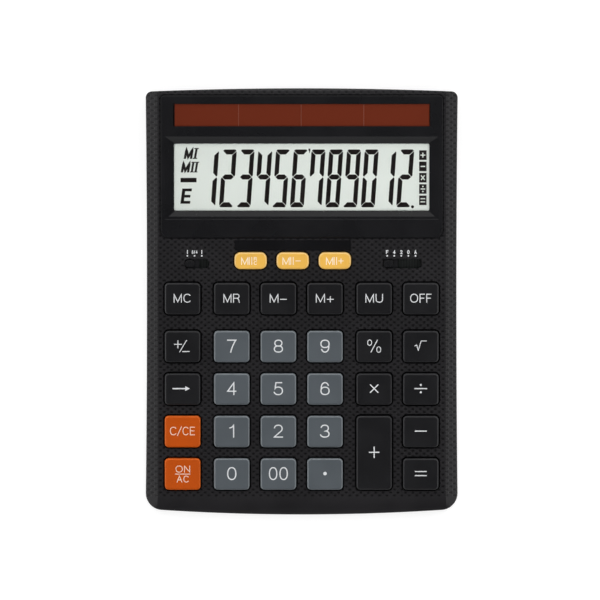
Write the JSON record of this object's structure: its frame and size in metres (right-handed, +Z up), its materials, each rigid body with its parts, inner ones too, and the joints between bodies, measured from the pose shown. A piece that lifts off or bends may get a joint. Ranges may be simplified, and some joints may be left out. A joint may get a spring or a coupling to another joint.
{
  "type": "desk calculator",
  "caption": "Wedge-shaped desk calculator with a tilted display head, solar strip, sprung keys, slide switches and a sliding battery door.",
  "frame": {"origin": "middle of the footprint, at the bottom of the feet", "axes": "+Y towards the display, +X to the right as the keys are read, +Z up"},
  "size_m": [0.148, 0.202, 0.0347],
  "materials": {
    "case_plastic": "fine woven texture, satin",
    "bezel_gloss": "gloss",
    "clear_window": "clear acrylic",
    "lcd_glass": "polarised glass",
    "lcd_reflector": "matte reflective film",
    "inner_plastic": "moulded",
    "flex_ribbon": "film",
    "solar_cell": "amorphous silicon behind glass",
    "keypad_rubber": "silicone",
    "circuit_board": "lacquered laminate",
    "chip_resin": "epoxy",
    "component_body": "sleeved",
    "battery_jacket": "plain printed jacket",
    "contact_metal": "nickel plated",
    "wire_red": "insulated",
    "wire_blue": "insulated",
    "screw_steel": "zinc plated",
    "foot_rubber": "matte",
    "key_black": "satin",
    "key_grey": "satin",
    "key_orange": "satin",
    "key_yellow": "satin"
  },
  "bodies": {
    "case": {"top_case": "case_plastic", "bottom_case": "case_plastic", "display_bezel": "bezel_gloss", "lcd_window": "clear_window", "lcd_glass": "lcd_glass", "lcd_reflector": "lcd_reflector", "lcd_retainer": "inner_plastic", "lcd_flex": "flex_ribbon", "solar_cell": "solar_cell", "label_strip": "bezel_gloss", "rubber_keypad": "keypad_rubber", "keyboard_board": "circuit_board", "main_chip": "chip_resin", "board_components": "component_body", "battery_cell": "battery_jacket", "battery_contact_plus": "contact_metal", "battery_contact_minus": "contact_metal", "battery_wires": "wire_red", "solar_wires": "wire_blue", "case_screws": "screw_steel", "board_screws": "screw_steel", "rubber_feet": "foot_rubber"},
    "battery_door": {"battery_door": "case_plastic"},
    "rounding_switch": {"rounding_switch_knob": "key_black", "rounding_switch_wiper": "contact_metal"},
    "decimal_switch": {"decimal_switch_knob": "key_black", "decimal_switch_wiper": "contact_metal"},
    "key_mii_recall": {"key_mii_recall": "key_yellow"},
    "key_mii_minus": {"key_mii_minus": "key_yellow"},
    "key_mii_plus": {"key_mii_plus": "key_yellow"},
    "key_mc": {"key_mc": "key_black"},
    "key_mr": {"key_mr": "key_black"},
    "key_m_minus": {"key_m_minus": "key_black"},
    "key_m_plus": {"key_m_plus": "key_black"},
    "key_mu": {"key_mu": "key_black"},
    "key_off": {"key_off": "key_black"},
    "key_sign": {"key_sign": "key_black"},
    "key_7": {"key_7": "key_grey"},
    "key_8": {"key_8": "key_grey"},
    "key_9": {"key_9": "key_grey"},
    "key_percent": {"key_percent": "key_black"},
    "key_root": {"key_root": "key_black"},
    "key_backspace": {"key_backspace": "key_black"},
    "key_4": {"key_4": "key_grey"},
    "key_5": {"key_5": "key_grey"},
    "key_6": {"key_6": "key_grey"},
    "key_multiply": {"key_multiply": "key_black"},
    "key_divide": {"key_divide": "key_black"},
    "key_clear_entry": {"key_clear_entry": "key_orange"},
    "key_1": {"key_1": "key_grey"},
    "key_2": {"key_2": "key_grey"},
    "key_3": {"key_3": "key_grey"},
    "key_plus": {"key_plus": "key_black"},
    "key_minus": {"key_minus": "key_black"},
    "key_on_clear": {"key_on_clear": "key_orange"},
    "key_0": {"key_0": "key_grey"},
    "key_00": {"key_00": "key_grey"},
    "key_point": {"key_point": "key_grey"},
    "key_equals": {"key_equals": "key_black"}
  },
  "joints": [
    {"name": "key_mii_recall_press", "type": "slide", "parent": "case", "child": "key_mii_recall", "axis": [0, 0.0698, -0.9976], "range_m": [0, 0.0015], "stiffness_N_per_m": 350, "springref_m": -0.0002, "deforming": ["rubber_keypad"]},
    {"name": "key_mii_minus_press", "type": "slide", "parent": "case", "child": "key_mii_minus", "axis": [0, 0.0698, -0.9976], "range_m": [0, 0.0015], "stiffness_N_per_m": 350, "springref_m": -0.0002, "deforming": ["rubber_keypad"]},
    {"name": "key_mii_plus_press", "type": "slide", "parent": "case", "child": "key_mii_plus", "axis": [0, 0.0698, -0.9976], "range_m": [0, 0.0015], "stiffness_N_per_m": 350, "springref_m": -0.0002, "deforming": ["rubber_keypad"]},
    {"name": "key_mc_press", "type": "slide", "parent": "case", "child": "key_mc", "axis": [0, 0.0698, -0.9976], "range_m": [0, 0.0015], "stiffness_N_per_m": 350, "springref_m": -0.0002, "deforming": ["rubber_keypad"]},
    {"name": "key_mr_press", "type": "slide", "parent": "case", "child": "key_mr", "axis": [0, 0.0698, -0.9976], "range_m": [0, 0.0015], "stiffness_N_per_m": 350, "springref_m": -0.0002, "deforming": ["rubber_keypad"]},
    {"name": "key_m_minus_press", "type": "slide", "parent": "case", "child": "key_m_minus", "axis": [0, 0.0698, -0.9976], "range_m": [0, 0.0015], "stiffness_N_per_m": 350, "springref_m": -0.0002, "deforming": ["rubber_keypad"]},
    {"name": "key_m_plus_press", "type": "slide", "parent": "case", "child": "key_m_plus", "axis": [0, 0.0698, -0.9976], "range_m": [0, 0.0015], "stiffness_N_per_m": 350, "springref_m": -0.0002, "deforming": ["rubber_keypad"]},
    {"name": "key_mu_press", "type": "slide", "parent": "case", "child": "key_mu", "axis": [0, 0.0698, -0.9976], "range_m": [0, 0.0015], "stiffness_N_per_m": 350, "springref_m": -0.0002, "deforming": ["rubber_keypad"]},
    {"name": "key_off_press", "type": "slide", "parent": "case", "child": "key_off", "axis": [0, 0.0698, -0.9976], "range_m": [0, 0.0015], "stiffness_N_per_m": 350, "springref_m": -0.0002, "deforming": ["rubber_keypad"]},
    {"name": "key_sign_press", "type": "slide", "parent": "case", "child": "key_sign", "axis": [0, 0.0698, -0.9976], "range_m": [0, 0.0015], "stiffness_N_per_m": 350, "springref_m": -0.0002, "deforming": ["rubber_keypad"]},
    {"name": "key_7_press", "type": "slide", "parent": "case", "child": "key_7", "axis": [0, 0.0698, -0.9976], "range_m": [0, 0.0015], "stiffness_N_per_m": 350, "springref_m": -0.0002, "deforming": ["rubber_keypad"]},
    {"name": "key_8_press", "type": "slide", "parent": "case", "child": "key_8", "axis": [0, 0.0698, -0.9976], "range_m": [0, 0.0015], "stiffness_N_per_m": 350, "springref_m": -0.0002, "deforming": ["rubber_keypad"]},
    {"name": "key_9_press", "type": "slide", "parent": "case", "child": "key_9", "axis": [0, 0.0698, -0.9976], "range_m": [0, 0.0015], "stiffness_N_per_m": 350, "springref_m": -0.0002, "deforming": ["rubber_keypad"]},
    {"name": "key_percent_press", "type": "slide", "parent": "case", "child": "key_percent", "axis": [0, 0.0698, -0.9976], "range_m": [0, 0.0015], "stiffness_N_per_m": 350, "springref_m": -0.0002, "deforming": ["rubber_keypad"]},
    {"name": "key_root_press", "type": "slide", "parent": "case", "child": "key_root", "axis": [0, 0.0698, -0.9976], "range_m": [0, 0.0015], "stiffness_N_per_m": 350, "springref_m": -0.0002, "deforming": ["rubber_keypad"]},
    {"name": "key_backspace_press", "type": "slide", "parent": "case", "child": "key_backspace", "axis": [0, 0.0698, -0.9976], "range_m": [0, 0.0015], "stiffness_N_per_m": 350, "springref_m": -0.0002, "deforming": ["rubber_keypad"]},
    {"name": "key_4_press", "type": "slide", "parent": "case", "child": "key_4", "axis": [0, 0.0698, -0.9976], "range_m": [0, 0.0015], "stiffness_N_per_m": 350, "springref_m": -0.0002, "deforming": ["rubber_keypad"]},
    {"name": "key_5_press", "type": "slide", "parent": "case", "child": "key_5", "axis": [0, 0.0698, -0.9976], "range_m": [0, 0.0015], "stiffness_N_per_m": 350, "springref_m": -0.0002, "deforming": ["rubber_keypad"]},
    {"name": "key_6_press", "type": "slide", "parent": "case", "child": "key_6", "axis": [0, 0.0698, -0.9976], "range_m": [0, 0.0015], "stiffness_N_per_m": 350, "springref_m": -0.0002, "deforming": ["rubber_keypad"]},
    {"name": "key_multiply_press", "type": "slide", "parent": "case", "child": "key_multiply", "axis": [0, 0.0698, -0.9976], "range_m": [0, 0.0015], "stiffness_N_per_m": 350, "springref_m": -0.0002, "deforming": ["rubber_keypad"]},
    {"name": "key_divide_press", "type": "slide", "parent": "case", "child": "key_divide", "axis": [0, 0.0698, -0.9976], "range_m": [0, 0.0015], "stiffness_N_per_m": 350, "springref_m": -0.0002, "deforming": ["rubber_keypad"]},
    {"name": "key_clear_entry_press", "type": "slide", "parent": "case", "child": "key_clear_entry", "axis": [0, 0.0698, -0.9976], "range_m": [0, 0.0015], "stiffness_N_per_m": 350, "springref_m": -0.0002, "deforming": ["rubber_keypad"]},
    {"name": "key_1_press", "type": "slide", "parent": "case", "child": "key_1", "axis": [0, 0.0698, -0.9976], "range_m": [0, 0.0015], "stiffness_N_per_m": 350, "springref_m": -0.0002, "deforming": ["rubber_keypad"]},
    {"name": "key_2_press", "type": "slide", "parent": "case", "child": "key_2", "axis": [0, 0.0698, -0.9976], "range_m": [0, 0.0015], "stiffness_N_per_m": 350, "springref_m": -0.0002, "deforming": ["rubber_keypad"]},
    {"name": "key_3_press", "type": "slide", "parent": "case", "child": "key_3", "axis": [0, 0.0698, -0.9976], "range_m": [0, 0.0015], "stiffness_N_per_m": 350, "springref_m": -0.0002, "deforming": ["rubber_keypad"]},
    {"name": "key_plus_press", "type": "slide", "parent": "case", "child": "key_plus", "axis": [0, 0.0698, -0.9976], "range_m": [0, 0.0015], "stiffness_N_per_m": 350, "springref_m": -0.0002, "deforming": ["rubber_keypad"]},
    {"name": "key_minus_press", "type": "slide", "parent": "case", "child": "key_minus", "axis": [0, 0.0698, -0.9976], "range_m": [0, 0.0015], "stiffness_N_per_m": 350, "springref_m": -0.0002, "deforming": ["rubber_keypad"]},
    {"name": "key_on_clear_press", "type": "slide", "parent": "case", "child": "key_on_clear", "axis": [0, 0.0698, -0.9976], "range_m": [0, 0.0015], "stiffness_N_per_m": 350, "springref_m": -0.0002, "deforming": ["rubber_keypad"]},
    {"name": "key_0_press", "type": "slide", "parent": "case", "child": "key_0", "axis": [0, 0.0698, -0.9976], "range_m": [0, 0.0015], "stiffness_N_per_m": 350, "springref_m": -0.0002, "deforming": ["rubber_keypad"]},
    {"name": "key_00_press", "type": "slide", "parent": "case", "child": "key_00", "axis": [0, 0.0698, -0.9976], "range_m": [0, 0.0015], "stiffness_N_per_m": 350, "springref_m": -0.0002, "deforming": ["rubber_keypad"]},
    {"name": "key_point_press", "type": "slide", "parent": "case", "child": "key_point", "axis": [0, 0.0698, -0.9976], "range_m": [0, 0.0015], "stiffness_N_per_m": 350, "springref_m": -0.0002, "deforming": ["rubber_keypad"]},
    {"name": "key_equals_press", "type": "slide", "parent": "case", "child": "key_equals", "axis": [0, 0.0698, -0.9976], "range_m": [0, 0.0015], "stiffness_N_per_m": 350, "springref_m": -0.0002, "deforming": ["rubber_keypad"]},
    {"name": "rounding_switch_slide", "type": "slide", "parent": "case", "child": "rounding_switch", "axis": [1, 0, 0], "range_m": [0, 0.0068]},
    {"name": "decimal_switch_slide", "type": "slide", "parent": "case", "child": "decimal_switch", "axis": [1, 0, 0], "range_m": [0, 0.0134]},
    {"name": "battery_door_slide", "type": "slide", "parent": "case", "child": "battery_door", "axis": [0, 1, 0], "range_m": [0, 0.024]}
  ]
}
